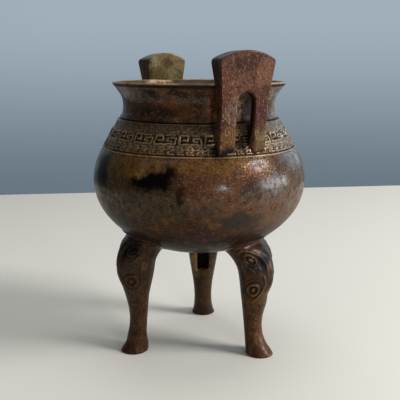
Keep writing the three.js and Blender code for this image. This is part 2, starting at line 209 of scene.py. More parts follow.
def skin(name, rings, relief):
    """A closed mesh over rings of points: equal rings are joined by quads, a ring and one of twice its count by
    three triangles a step, and a single point by a fan. Its faces are turned so that the volume comes out positive.
    Relief, from 0 in a hollow to 1 on a raised edge, goes with the points."""
    counts = [len(ring) for ring in rings]
    first = np.concatenate([[0], np.cumsum(counts)])
    quads, triangles = [], []
    for below, (n, m) in enumerate(zip(counts, counts[1:])):
        i = np.arange(min(n, m) if min(n, m) > 1 else max(n, m))
        a = lambda k: first[below] + k % n
        b = lambda k: first[below + 1] + k % m
        if n == m:
            quads.append(np.stack([a(i), a(i + 1), b(i + 1), b(i)], 1))
        elif n == 1:
            triangles.append(np.stack([a(0 * i), b(i + 1), b(i)], 1))
        elif m == 1:
            triangles.append(np.stack([b(0 * i), a(i), a(i + 1)], 1))
        elif m == 2 * n:
            triangles.append(np.stack([a(i), a(i + 1), b(2 * i + 1)], 1))
            triangles.append(np.stack([a(i), b(2 * i + 1), b(2 * i)], 1))
            triangles.append(np.stack([a(i + 1), b(2 * i + 2), b(2 * i + 1)], 1))
        else:
            triangles.append(np.stack([b(i + 1), b(i), a(2 * i + 1)], 1))
            triangles.append(np.stack([b(i), a(2 * i), a(2 * i + 1)], 1))
            triangles.append(np.stack([b(i + 1), a(2 * i + 1), a(2 * i + 2)], 1))
    points = np.concatenate(rings) / METRE
    quads, triangles = np.concatenate(quads), np.concatenate(triangles)
    fan = np.concatenate([quads[:, [0, 1, 2]], quads[:, [0, 2, 3]], triangles])
    corner = points[fan]
    if np.einsum("ij,ij", corner[:, 0], np.cross(corner[:, 1], corner[:, 2])) < 0:
        quads, triangles = quads[:, ::-1], triangles[:, ::-1]
    mesh = bpy.data.meshes.new(name)
    mesh.vertices.add(len(points))
    mesh.vertices.foreach_set("co", points.ravel())
    mesh.loops.add(quads.size + triangles.size)
    mesh.loops.foreach_set("vertex_index", np.concatenate([quads.ravel(), triangles.ravel()]))
    mesh.polygons.add(len(quads) + len(triangles))
    starts = np.concatenate([np.arange(len(quads)) * 4, quads.size + np.arange(len(triangles)) * 3])
    mesh.polygons.foreach_set("loop_start", starts)
    mesh.polygons.foreach_set("use_smooth", np.ones(len(starts), bool))
    mesh.update(calc_edges=True)
    mesh.attributes.new("relief", "FLOAT", "POINT").data.foreach_set("value", np.concatenate(relief))
    made = bpy.data.objects.new(name, mesh)
    bpy.context.scene.collection.objects.link(made)
    return made


rings, relief = [], []


def add_rings(points, seen):
    """Puts the next rings on the list, with their relief, which may be one number for them all."""
    rings.extend(points)
    relief.extend(np.broadcast_to(seen, points.shape[:2]))


INSIDE, DEEP_INSIDE = 0.36, 0.34
# Painted shade: the last four rings just under the lip get low relief, which draws a dark line under the lip.
UNDER_LIP_SHADE = np.array([[PLAIN]] * 17 + [[0.42], [0.2], [0.04], [0.24]])
# The lip round gets high relief, which draws it pale: wear on the lip, and a painted highlight along it.
LIP_WEAR_AND_GLINT = np.array([[0.8], [1.0], [1.0], [1.0], [1.0], [0.8]])
add_rings(np.array([[[0, 0, BELLY_HEIGHT - BELLY_DROP]]]), PLAIN)
drop = np.linspace(0, np.pi / 2, 46)[1:]
add_rings(turned(BELLY_RADIUS * np.sin(drop), BELLY_HEIGHT - BELLY_DROP * np.cos(drop), COARSE_COLUMNS), PLAIN)
rise = np.linspace(BELLY_HEIGHT, CORD_HEIGHT - 0.9, 14)[1:]
add_rings(turned(belly_radius(rise, 0), rise, COARSE_COLUMNS), PLAIN)
add_rings(*shoulder(BAND_COLUMNS // 2, np.array([-0.75])))
add_rings(*shoulder(BAND_COLUMNS, np.linspace(-0.45, 23.9, 53)))
add_rings(*shoulder(BAND_COLUMNS // 2, np.array([24.3])))
add_rings(turned(*traced(NECK_OUTSIDE, len(UNDER_LIP_SHADE)), COARSE_COLUMNS), UNDER_LIP_SHADE)
add_rings(turned(*np.array(LIP_ROUND).T, COARSE_COLUMNS), LIP_WEAR_AND_GLINT)
# Painted light: the inside of the neck gets higher relief towards the lip, which draws it paler where light falls
# into the mouth.
add_rings(turned(*traced(NECK_INSIDE, 13), COARSE_COLUMNS), 0.44 + 0.2 * np.linspace(1, 0, 13)[:, None] ** 3)
inner_top = CORD_HEIGHT + UP_RADIUS * WALL
slope = np.linspace(0.06, 1, 7)
inner_radius = SHOULDER_TOP_RADIUS + slope * (CORD_RADIUS - SHOULDER_TOP_RADIUS) - UP_HEIGHT * WALL
inner_height = SHOULDER_TOP_HEIGHT + slope * (CORD_HEIGHT - SHOULDER_TOP_HEIGHT) + UP_RADIUS * WALL
add_rings(turned(inner_radius, inner_height, COARSE_COLUMNS // 2), INSIDE)
fall = np.linspace(inner_top, BELLY_HEIGHT, 8)[1:]
add_rings(turned(belly_radius(fall, WALL), fall, COARSE_COLUMNS // 2), DEEP_INSIDE)
sink = np.linspace(np.pi / 2, 0, 30)[1:-1]
bowl_radius, bowl_depth = BELLY_RADIUS - WALL, BELLY_DROP - WALL
bowl = turned(bowl_radius * np.sin(sink), BELLY_HEIGHT - bowl_depth * np.cos(sink), COARSE_COLUMNS // 2)
add_rings(bowl, DEEP_INSIDE)
add_rings(np.array([[[0, 0, BELLY_HEIGHT - bowl_depth]]]), DEEP_INSIDE)
body = skin("ding_body", rings, relief)
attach(body, "root")
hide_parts("ding_vessel")


class Wire:
    """A shader socket in Python expressions: each operator adds a Math node to the socket's own tree."""

    def __init__(self, tree, socket=None):
        self.tree = tree
        self.socket = socket

    def node(self, kind, settings, inputs, output=0):
        """Adds any node: its settings first, then its sockets' values or links."""
        made = self.tree.nodes.new(kind)
        for name, value in settings.items():
            setattr(made, name, value)
        for key, value in inputs.items():
            if isinstance(value, Wire):
                self.tree.links.new(value.socket, made.inputs[key])
            else:
                made.inputs[key].default_value = value
        return Wire(self.tree, made.outputs[output])

    def math(self, operation, first, second):
        """A Math node on two sockets or numbers."""
        return self.node("ShaderNodeMath", {"operation": operation}, {0: first, 1: second})

    def __add__(self, other):
        return self.math("ADD", self, other)

    __radd__ = __add__

    def __sub__(self, other):
        return self.math("SUBTRACT", self, other)

    def __rsub__(self, other):
        return self.math("SUBTRACT", other, self)

    def __mul__(self, other):
        return self.math("MULTIPLY", self, other)

    __rmul__ = __mul__

    def between(self, low, high):
        """0 below low, 1 above high, or the other way round where low is the higher."""
        settings = {"interpolation_type": "SMOOTHSTEP"}
        inputs = {"Value": self, "From Min": low, "From Max": high}
        if low > high:
            inputs = {"Value": self, "From Min": high, "From Max": low, "To Min": 1.0, "To Max": 0.0}
        return self.node("ShaderNodeMapRange", settings, inputs)

    def tint(self, other, share):
        """This colour with a share of another mixed in."""
        return self.node("ShaderNodeMix", {"data_type": "RGBA"}, {0: share, 6: self, 7: other}, 2)

    def noise(self, scale, detail, roughness, output=0):
        """Noise at this place, whose scale is in features to the millimetre."""
        inputs = {"Vector": self, "Scale": scale, "Detail": detail, "Roughness": roughness}
        return self.node("ShaderNodeTexNoise", {}, inputs, output)

    def moved(self, operation, other, output=0):
        """Vector Math of this vector and another."""
        return self.node("ShaderNodeVectorMath", {"operation": operation}, {0: self, 1: other}, output)


def tone(red, green, blue):
    """A colour as a screen shows it, 0 to 255, as the linear colour that a shader takes."""
    shown = np.array([red, green, blue]) / 255
    linear = np.where(shown <= 0.04045, shown / 12.92, ((shown + 0.055) / 1.055) ** 2.4)
    return (*linear.tolist(), 1.0)


NECK_RADIUS = 54.0


def on_belly(azimuth, height):
    """The point of the body's outer face at an azimuth in degrees and a height in millimetres, where the neck
    counts as a plain tube."""
    if height > SHOULDER_TOP_HEIGHT:
        radius = NECK_RADIUS
    elif height < CORD_HEIGHT:
        radius = belly_radius(np.array(height), 0)
    else:
        radius = CORD_RADIUS + (height - CORD_HEIGHT) * UP_RADIUS / UP_HEIGHT
    turn = np.radians(azimuth)
    return float(radius * np.cos(turn)), float(radius * np.sin(turn)), float(height)


RAGGED = (15, 15, 15)
STAIN_AND_LIGHT_SOFT, SCORCH_AND_LIGHT_SOFT, GRIT_SOFT = 0.3, 0.46, 0.6
COAT_ROUGHNESS = 0.16
BUMP_STRENGTH, BUMP_DEPTH = 0.6, 0.0002


def bronze(name, tones, stains_and_light, scorch_and_light, grit, wax, shine, grain=(1, 1, 1)):
    """Patinated bronze: slow noise mixes the tones, and ragged patches lie over them, each an ellipsoid about a
    point with its half width and half height in millimetres. Most are staining, and some are painted reflections,
    highlights and shade. The patches keep off the bowl's inside and deep hollows. Low relief is darkened, for grime
    in hollows and for painted shade. High relief is paler, for wear on raised edges and for a painted highlight on
    the lip. Gritty places have more pits and bright specks. Scorched places, painted shadows and a painted highlight
    cover all that, and patchy wax gives the gloss, from none at its low height to its full weight at its high one.
    The grain may be drawn out along an axis."""
    material = bpy.data.materials.new(name)
    material.use_nodes = True
    tree = material.node_tree
    shader = tree.nodes["Principled BSDF"]
    metres = Wire(tree).node("ShaderNodeTexCoord", {}, {}, "Object")
    place = metres.moved("MULTIPLY", (METRE, METRE, METRE))
    waver = place.noise(0.14, 5, 0.65, 1).moved("SUBTRACT", (0.5, 0.5, 0.5)).moved("MULTIPLY", RAGGED)
    ragged = place.moved("ADD", waver)
    slow = place.noise(0.035, 4, 0.6)
    broken = place.moved("ADD", (70, 20, 40)).noise(0.10, 6, 0.66)
    cloud = place.moved("ADD", (-40, 90, 10)).noise(0.055, 5, 0.6)
    mottle = place.moved("ADD", (31, -17, 55)).noise(0.26, 5, 0.7)
    drawn = place.moved("MULTIPLY", grain)
    fine = drawn.noise(0.6, 3, 0.6)
    speck = drawn.moved("ADD", (13, 7, 29)).noise(1.0, 2, 0.6)

    def nearness(centre, wide, tall, soft):
        """1 at the middle of an ellipsoid about a point, fading to 0 at its ragged edge."""
        offset = ragged.moved("SUBTRACT", centre).moved("MULTIPLY", (1 / wide, 1 / wide, 1 / tall))
        return offset.moved("LENGTH", (0, 0, 0), 1).between(1 + soft, 1 - soft)

    gritty = sum(nearness(centre, wide, tall, GRIT_SOFT) * strength for centre, wide, tall, strength in grit)
    seen = place.node("ShaderNodeAttribute", {"attribute_name": "relief"}, {}, "Fac")
    hollow_and_shade = seen.between(0.46, 0.06)
    wear_and_painted_light = seen.between(0.56, 0.98) * broken.between(0.25, 0.55)
    deep, middle, warm, cool, dirt_and_shade, rubbed_and_glint = tones
    colour = place.node("ShaderNodeMix", {"data_type": "RGBA"}, {0: slow.between(0.36, 0.64), 6: deep, 7: middle}, 2)
    colour = colour.tint(warm, broken.between(0.46, 0.68) * 0.75)
    colour = colour.tint(cool, cloud.between(0.5, 0.7) * 0.6)
    outside = seen.between(0.36, 0.4)
    # Patches of staining, among them painted reflections, highlights and shade.
    for centre, wide, tall, stain_and_light_colour, strength in stains_and_light:
        colour = colour.tint(stain_and_light_colour, nearness(centre, wide, tall, STAIN_AND_LIGHT_SOFT) * outside * strength)
    colour = colour.tint(dirt_and_shade, mottle.between(0.5, 0.68) * 0.55)
    colour = colour.tint(rubbed_and_glint, mottle.between(0.44, 0.3) * 0.14)
    colour = colour.tint(dirt_and_shade, fine.between(0.52, 0.62) * (0.3 + 0.45 * gritty))
    colour = colour.tint(rubbed_and_glint, speck.between(0.54, 0.66) * (0.07 + 0.62 * gritty))
    # Low relief darkens: grime in hollows, and painted shade where the relief is set low for it.
    colour = colour.tint(dirt_and_shade, hollow_and_shade * 0.9)
    # High relief pales: wear on raised edges, and a painted highlight on the lip.
    colour = colour.tint(rubbed_and_glint, wear_and_painted_light * 0.75)
    crust_and_light = 0
    # Scorched places, among them painted shadows and a painted highlight.
    for centre, wide, tall, stain_and_light_colour, strength in scorch_and_light:
        share = nearness(centre, wide, tall, SCORCH_AND_LIGHT_SOFT) * strength
        colour = colour.tint(stain_and_light_colour, share)
        crust_and_light = crust_and_light + share
    tree.links.new(colour.socket, shader.inputs["Base Color"])
    gloss = 0.2 + 0.2 * mottle + 0.14 * fine + 0.2 * hollow_and_shade
    tree.links.new(gloss.socket, shader.inputs["Roughness"])
    tree.links.new((0.04 + 0.3 * wear_and_painted_light + 0.14 * broken + 0.3 * gritty).socket, shader.inputs["Metallic"])
    shader.inputs["Specular IOR Level"].default_value = shine
    low, high, weight = wax
    up = place.node("ShaderNodeSeparateXYZ", {}, {0: place}, 2)
    waxed = up.between(low, high) * mottle.between(0.7, 0.35) * (1 - hollow_and_shade)
    waxed = waxed * (1 - 0.6 * gritty) * crust_and_light.between(0.9, 0.0) * weight
    tree.links.new(waxed.socket, shader.inputs["Coat Weight"])
    shader.inputs["Coat Roughness"].default_value = COAT_ROUGHNESS
    height = 0.6 * fine + 0.5 * speck + 0.5 * broken + 0.6 * mottle + gritty * (1.6 * fine + 1.8 * speck)
    inputs = {"Height": height, "Strength": BUMP_STRENGTH, "Distance": BUMP_DEPTH}
    bump = height.node("ShaderNodeBump", {}, inputs)
    tree.links.new(bump.socket, shader.inputs["Normal"])
    return material


# The tones of each bronze: deep, middle, warm, cool, a dark one for grime and painted shade, and a pale one for
# wear and a painted highlight. Its staining and scorched places, some of them painted light: a point, the half
# width, the half height, the colour and the strength. Its gritty places are the same without a colour.
BODY_TONES = (
    tone(48, 31, 18),
    tone(76, 51, 31),
    tone(100, 62, 32),
    tone(62, 47, 38),
    tone(14, 9, 5),
    tone(188, 154, 112),
)
BLACK = tone(6, 5, 5)
OCHRE = tone(112, 74, 30)
OLIVE = tone(60, 50, 26)
RED = tone(96, 55, 37)
PLUM = tone(58, 34, 32)
SLATE = tone(44, 42, 39)
NECK_BROWN = tone(58, 35, 19)
BODY_STAINS = [
    ((0, 0, 176), 64, 11, NECK_BROWN, 0.7),
    ((0, 0, 155), 76, 10, tone(106, 87, 61), 0.75),
    ((38, -38, 177), 34, 8, tone(60, 36, 19), 0.6),
    ((44, -31, 178), 14, 7, tone(82, 52, 29), 0.5),
    (on_belly(-60, 183), 8, 3, tone(16, 11, 7), 0.8),
    (on_belly(-47, 178), 6, 3.5, tone(98, 56, 26), 0.6),
    (on_belly(-39, 184), 7, 2.6, tone(18, 11, 7), 0.75),
    (on_belly(-34, 172), 6, 3.5, tone(92, 56, 28), 0.55),
    (on_belly(-27, 180), 5, 5, tone(26, 14, 8), 0.7),
    (on_belly(-66, 172), 7, 4, tone(22, 15, 10), 0.7),
    (on_belly(-50, 171), 6, 2.5, tone(20, 12, 8), 0.6),
    (on_belly(-20, 184), 5, 3, tone(94, 52, 24), 0.5),
    (on_belly(-14, 132), 34, 18, RED, 0.5),
    (on_belly(-2, 112), 36, 18, tone(82, 56, 38), 0.45),
    (on_belly(26, 112), 30, 22, tone(94, 71, 54), 0.6),
    (on_belly(-22, 141), 24, 6, OCHRE, 0.6),
    (on_belly(-62, 140), 26, 9, OCHRE, 0.75),
    (on_belly(-76, 128), 14, 14, OLIVE, 0.6),
    (on_belly(-48, 116), 22, 12, OLIVE, 0.7),
    (on_belly(-61, 118), 7, 6, tone(26, 21, 15), 0.5),
    # Darker towards the bottom of the belly.
    ((0, 0, 74), 100, 28, tone(18, 7, 3), 0.9),
    (on_belly(-24, 112), 8, 5, SLATE, 0.5),
    (on_belly(0, 124), 9, 6, SLATE, 0.6),
    # Painted reflection: a grey sheen on the right of the belly.
    (on_belly(14, 128), 13, 7, tone(86, 84, 86), 0.6),
    # Painted reflection: a bluish sheen on the right of the shoulder.
    (on_belly(36, 150), 20, 16, tone(104, 108, 110), 0.45),
    # Painted reflection: a pale sheen on the right of the neck.
    ((27, 47, 177), 17, 15, tone(160, 150, 132), 0.35),
    # Painted light: the neck seen through the near ear's slot, drawn pale where light reaches it.
    ((53.5, -0.5, 173), 4.5, 9, tone(176, 148, 130), 0.7),
    (on_belly(-80, 106), 18, 12, tone(58, 56, 51), 0.6),
    (on_belly(-24, 96), 16, 7, PLUM, 0.75),
    (on_belly(-42, 107), 3.5, 2.5, tone(122, 72, 30), 0.4),
    (on_belly(-18, 103), 3.5, 2.5, tone(118, 80, 34), 0.4),
    (on_belly(-55, 135.5), 5, 1.6, tone(150, 118, 66), 0.6),
    (on_belly(-17, 174), 4, 9, tone(104, 52, 24), 0.5),
]
LIP_GLINT = ((-56.5, -6, 189), 10, 3, tone(226, 192, 152), 0.75)
# Black and slate patina, with painted light among it: shadows about the near ear's feet and slot, and the painted
# highlight LIP_GLINT on the far lip.
BODY_SCORCH_AND_LIGHT = [
    (on_belly(-56, 129.5), 6.5, 4.6, BLACK, 0.97),
    (on_belly(-50, 131), 7.5, 5.6, BLACK, 0.97),
    (on_belly(-44, 132), 7, 6, BLACK, 0.97),
    (on_belly(-41, 137), 4.5, 4.5, BLACK, 0.92),
    (on_belly(-35.2, 124.5), 3, 10, BLACK, 0.65),
    (on_belly(-88, 133), 9, 11, BLACK, 0.92),
    (on_belly(-84, 128), 6, 6, BLACK, 0.8),
    (on_belly(-5, 105), 15, 5.5, SLATE, 0.75),
    # Painted shadow under the near ear's left foot.
    (on_belly(-17, 147.5), 7, 4.5, BLACK, 0.85),
    # Painted shadow on the neck behind the right part of the near ear's slot.
    ((52.5, 9, 171), 6, 13, tone(20, 8, 6), 0.9),
    # Grime and painted shadow at the foot of the near ear's slot.
    ((62, 2, 155), 5, 5, tone(16, 7, 4), 0.9),
    ((64, -3, 152), 4, 3.5, tone(18, 8, 5), 0.85),
    ((30, -50, 185.5), 5, 1.8, tone(22, 18, 15), 0.7),
    ((53.5, -27, 189.5), 9, 3, tone(44, 34, 27), 0.6),
    LIP_GLINT,
]
BODY_GRIT = [
    (on_belly(4, 140), 14, 8, 0.5),
    ((53.5, -0.5, 173), 6, 10, 0.7),
    (on_belly(15, 133), 14, 7, 0.3),
    ((0, 0, 155), 78, 11, 0.85),
    ((0, 0, 178), 66, 9, 0.25),
    (on_belly(-25, 135), 34, 18, 0.22),
]
BODY_WAX = (98, 124, 0.55)
BODY_SHINE = 0.06
body_bronze = bronze("body_bronze", BODY_TONES, BODY_STAINS, BODY_SCORCH_AND_LIGHT, BODY_GRIT, BODY_WAX, BODY_SHINE)
body.data.materials.append(body_bronze)

# Ears: two upright bronze handles that stand on the shoulder and flare to an arched top, each with a slot
# through it. They are cast in one with the body, and small differences between the two come from the mould.
# Each has a name, an azimuth, half widths at its top and waist, a lean, its slot's shift and a taper to the back.
EARS = [
    ("ding_ear_right", 0, 19.5, 16.3, 0.042, 1.0, 0.0),
    ("ding_ear_left", 180, 19.3, 15.6, 0.0, 0.0, 0.0145),
]
EAR_CORNER = 204.4
EAR_APEX = 210.0
EAR_WAIST = 168.0
EAR_ROOT = 146.0
EAR_FACE = 68.8
EAR_SEAT = 62.0
EAR_STEPS = 60
SLOT_HALF = 6.2
SLOT_SPRING = 185.0 - SLOT_HALF
EDGE_ROUND = 1.0
SLOT_ROUND = 1.7
FOOT_FLARE = 0.6
FOOT_FADE = 4.0
SLOT_FLARE = 2.2
SLOT_FLARE_LEFT = 0.25
OUTWARD = [(146, 64.6), (158, 65.8), (172, 66.5), (186, 67.2), (198, 68.2), (211, 68.8)]
INWARD = [(146, 56.0), (157, 58.0), (167, 60.0), (178, 60.2), (189, 58.0), (198, 56.2), (211, 54.8)]


def ear(name, azimuth, top_half, waist_half, lean, slot_shift, back_taper):
    """An ear as a rounded oblong section carried along an arch: at each step the section reaches from the slot's
    edge to the plate's edge, and from the face over the mouth to the outward face. Its feet flare where they meet
    the shoulder and end inside the body's wall."""
    climb = np.linspace(0, 1, EAR_STEPS)
    over = np.linspace(0, 1, EAR_STEPS + 2)[1:-1]
    edge_height = EAR_ROOT + climb * (EAR_CORNER - EAR_ROOT)
    flare = np.clip((edge_height - EAR_WAIST) / (EAR_CORNER - EAR_WAIST), 0, None)
    edge_half = waist_half + (top_half - waist_half) * flare**2
    crown = EAR_CORNER + (EAR_APEX - EAR_CORNER) * (1 - (1 - 2 * over) ** 2)
    outer = np.concatenate([
        np.stack([-edge_half, edge_height], 1),
        np.stack([top_half * (2 * over - 1), crown], 1),
        np.stack([edge_half, edge_height], 1)[::-1],
    ])
    slot_height = EAR_ROOT + climb * (SLOT_SPRING - EAR_ROOT)
    left = np.stack([np.full(EAR_STEPS, slot_shift - SLOT_HALF), slot_height], 1)
    right = np.stack([np.full(EAR_STEPS, slot_shift + SLOT_HALF), slot_height], 1)
    arch = np.pi * (1 - over)
    round_top = np.stack([slot_shift + SLOT_HALF * np.cos(arch), SLOT_SPRING + SLOT_HALF * np.sin(arch)], 1)
    inner = np.concatenate([left, round_top, right[::-1]])
    padded = np.pad(outer, ((2, 2), (0, 0)), "edge")
    outer[2:-2] = np.mean([padded[k:k + len(outer)] for k in range(5)], 0)[2:-2]

    quarter = np.linspace(0, np.pi / 2, 7)
    run = np.linspace(0, 1, 16)[1:-1]
    corners = [(0, 0, np.pi), (1, 0, 1.5 * np.pi), (1, 1, 0), (0, 1, 0.5 * np.pi)]
    section = []
    for k, (fa, fb, start) in enumerate(corners):
        turn = start + quarter
        section.append(np.stack([fa + 0 * turn, fb + 0 * turn, np.cos(turn), np.sin(turn), 0 * turn + 1], 1))
        na, nb, _ = corners[(k + 1) % 4]
        side = np.stack([fa + run * (na - fa), fb + run * (nb - fb)], 1)
        face = np.stack([0 * run + np.cos(start + np.pi / 2), 0 * run + np.sin(start + np.pi / 2), 0 * run], 1)
        section.append(np.concatenate([side, face], 1))
    fa, fb, ca, cb, edge = np.concatenate(section).T

    reach = np.linalg.norm(outer - inner, axis=1)[:, None]
    rounding = SLOT_ROUND * (1 - fa) + EDGE_ROUND * fa
    share = (SLOT_ROUND * (1 - fa) + (reach - EDGE_ROUND) * fa + rounding * ca) / reach
    height = inner[:, 1:] + (outer - inner)[:, 1:] * share
    seat_height = CORD_HEIGHT + (EAR_SEAT - CORD_RADIUS) * UP_HEIGHT / UP_RADIUS
    right_side = step_up(np.arange(len(inner)), EAR_STEPS, 2 * EAR_STEPS)[:, None]
    slot_spread = SLOT_FLARE * (SLOT_FLARE_LEFT + (1 - SLOT_FLARE_LEFT) * right_side)
    spread = slot_spread * (1 - fa) + FOOT_FLARE * fa
    foot = spread * np.exp(-np.clip(height - seat_height, 0, None) / FOOT_FADE)
    flat = inner[:, None, :] + (outer - inner)[:, None, :] * (share + foot * ca / reach)[..., None]
    across, height = flat[..., 0], flat[..., 1]
    near, far = flow(INWARD, height), flow(OUTWARD, height)
    out = near + rounding + (far - near - 2 * rounding) * fb + (rounding + foot) * cb
    across = across * (1 - back_taper * (EAR_FACE - out)) - lean * (EAR_CORNER - height)
    surface = CORD_HEIGHT + (np.hypot(out, across) - CORD_RADIUS) * UP_HEIGHT / UP_RADIUS
    above = height - surface
    height = np.where(height < EAR_WAIST, np.maximum(height, surface + WALL / 2 / UP_RADIUS), height)
    turn = np.radians(azimuth)
    points = np.stack([
        out * np.cos(turn) - across * np.sin(turn),
        out * np.sin(turn) + across * np.cos(turn),
        height,
    ], 2)
    # Painted shade: the rounded edges round the upper outward face and the slot's walls get low relief, which draws
    # them darker. The feet are drawn darker where they meet the shoulder.
    wear_and_painted_light = PLAIN - 0.14 * edge * (fa > 0.5) * fb * step_up(height, 160, 200) - 0.4 * (fa < 0.02) * (1 - edge)
    seen = np.clip(wear_and_painted_light - 0.4 * (1 - step_up(above, 0.5, 5)) * (height < EAR_WAIST), 0, 1)
    ends = [points[0].mean(0)[None], points[-1].mean(0)[None]]
    return skin(name, [ends[0], *points, ends[1]], [np.array([0.3]), *seen, np.array([0.3])])


EAR_TONES = (
    tone(66, 39, 26),
    tone(90, 57, 40),
    tone(106, 60, 34),
    tone(80, 49, 44),
    tone(24, 13, 9),
    tone(174, 128, 98),
)
EAR_STAINS_AND_LIGHT = [
    ((66, 2, 203), 13, 5, tone(50, 30, 23), 0.7),
    # Painted highlight on the near ear's upper right.
    ((66, 12, 197), 8, 9, tone(124, 85, 64), 0.6),
    ((66, -9, 173), 5, 9, tone(114, 88, 74), 0.5),
    ((66, 9, 170), 6, 9, tone(70, 34, 38), 0.75),
    ((66, -12, 157), 9, 6, tone(92, 62, 26), 0.75),
    ((65, 11, 157), 8, 6, tone(84, 66, 30), 0.75),
    # Painted shade on the near ear's left side face, which faces away from the light.
    ((62, -20, 192), 4, 22, tone(34, 27, 18), 0.85),
    ((61, -17, 170), 3.5, 10, tone(50, 54, 28), 0.8),
    ((-60, 0, 192), 44, 44, tone(124, 106, 68), 0.75),
    ((-58, 0, 200), 18, 9, tone(146, 126, 84), 0.6),
    ((-57, 1, 202), 5, 4, tone(82, 54, 38), 0.8),
    ((-58, -7, 196), 5, 4, tone(110, 94, 58), 0.7),
    ((-58, 5, 194), 5, 4, tone(156, 138, 100), 0.7),
    ((-57, -11, 204), 4, 4, tone(160, 146, 110), 0.7),
    ((-60, -19, 198), 7, 20, tone(46, 32, 20), 0.8),
]
# Painted shadow under the near ear's left foot, and painted shade on its left side face.
EAR_PAINTED_SHADE = [((64, -15, 148.5), 9, 3.5, BLACK, 0.85), ((61, -22, 192), 5.5, 24, tone(34, 27, 19), 0.85)]
EAR_GRIT = [((66, 0, 180), 40, 40, 0.36), ((66, -11, 165), 10, 26, 0.3), ((-60, 0, 200), 40, 30, 0.3)]
EAR_WAX = (140, 180, 0.25)
EAR_SHINE = 0.12
EAR_GRAIN = (1, 1, 0.7)
ear_bronze = bronze("ear_bronze", EAR_TONES, EAR_STAINS_AND_LIGHT, EAR_PAINTED_SHADE, EAR_GRIT, EAR_WAX, EAR_SHINE, EAR_GRAIN)
for sizes in EARS:
    made = ear(*sizes)
    made.data.materials.append(ear_bronze)
    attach(made, "root")
    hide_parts("ding_vessel")

# Legs: three bronze legs that swell into an animal mask with ringed eyes and a curled snout, thin to an ankle
# and end in a hoof. Each is cast in one with the body, on a low pad, with a casting pocket in its back. Each has a
# name, an azimuth, its mask's lift and slim, its ankle's bow, its eye's and curl's turn, its pad and its crispness.
LEGS = [
    ("ding_leg_front", -90, 2.4, -0.9, 2.2, 44, 52, 0.85, 0.55),
    ("ding_leg_right", 30, -2.4, 1.8, 0.0, 56, 66, 0.25, 1.0),
    ("ding_leg_left", 150, 0.0, 0.6, 0.0, 50, 58, 0.45, 0.8),
]
LEG_TOP = 92.0
PAD_EDGE = 88.0
LEG_ROWS, LEG_COLUMNS = 200, 160
LEG_FRONT = [
    (0, 61.6), (2.5, 60.4), (7, 56.6), (14, 53.4), (22, 52.2), (31, 53.0), (44, 56.6),
    (53, 59.8), (61, 60.8), (68, 60.2), (75, 58.0), (80, 54.4), (84, 50.4), (88, 50.3), (92, 51.5),
]
LEG_BACK = [
    (0, 42.0), (7, 41.0), (20, 40.0), (40, 38.4), (58, 36.4), (66, 34.8), (72, 31.0),
    (78, 26.0), (89, 22.0), (92, 21.3),
]
LEG_HALF = [
    (0, 9.4), (3, 8.3), (10, 7.2), (18, 6.9), (28, 7.7), (36, 9.0), (50, 11.4), (64, 13.2), (74, 15.4),
    (84, 21.0), (89, 23.0), (92, 23.7),
]
SLIM_FROM = (38, 50)
BOW_LOW, BOW_HIGH = (2, 14), (36, 58)
NOSE_RAISE, NOSE_SHARPNESS = 1.6, 24
NOSE_LOW, NOSE_HIGH = (44, 58), (76, 86)
POCKET_FLOOR = 44.9
POCKET_HALF, POCKET_LOW, POCKET_HIGH = (3.3, 5.4), (39, 42.5), (61.5, 65)
POCKET_LEAN = 0.25
FILLET = 6.0
SOLE = 0.93
CAP_RINGS = np.array([0.7, 0.4, 0.15])
EYE_HEIGHT, EYE_REACH = 74.5, 14.9
CURL_HEIGHT, CURL_REACH = 52.5, 11.5
TEAR = [[(-5.2, -0.8), (-5.0, -4.2), (-3.2, -7.0), (-0.8, -8.6)]]
BROW = [[(-5.0, 4.2), (-1.5, 6.4), (2.5, 6.2), (5.2, 4.2)]]
SNOUT_EDGE = [[(4.8, 5.6), (8.2, 1.2), (10.2, -5.0), (10.6, -12.0)]]
LIP_LINE = [[(7.6, 9.4), (8.6, 3.9), (6.7, -2.5), (3.9, -6.7), (0.0, -8.6)]]
CHEEK_LINE = [[(-5.6, 2.0), (-4.4, 5.6), (0.0, 8.0)]]
# Each line of the mask: its corners, its height and its width. Each ring: its radius and its width.
EYE_LINES = [(TEAR, 1.0, 1.35), (BROW, 0.7, 1.5), (SNOUT_EDGE, 0.9, 1.7)]
CURL_LINES = [(LIP_LINE, 0.9, 1.4), (CHEEK_LINE, 0.6, 1.4)]
EYE_RING, EYE_BULGE, PUPIL = (3.6, 1.25), 4.6, (0.9, 2.0)
CURL_RING, CURL_HEART = (4.0, 1.5), (0.6, 2.0)


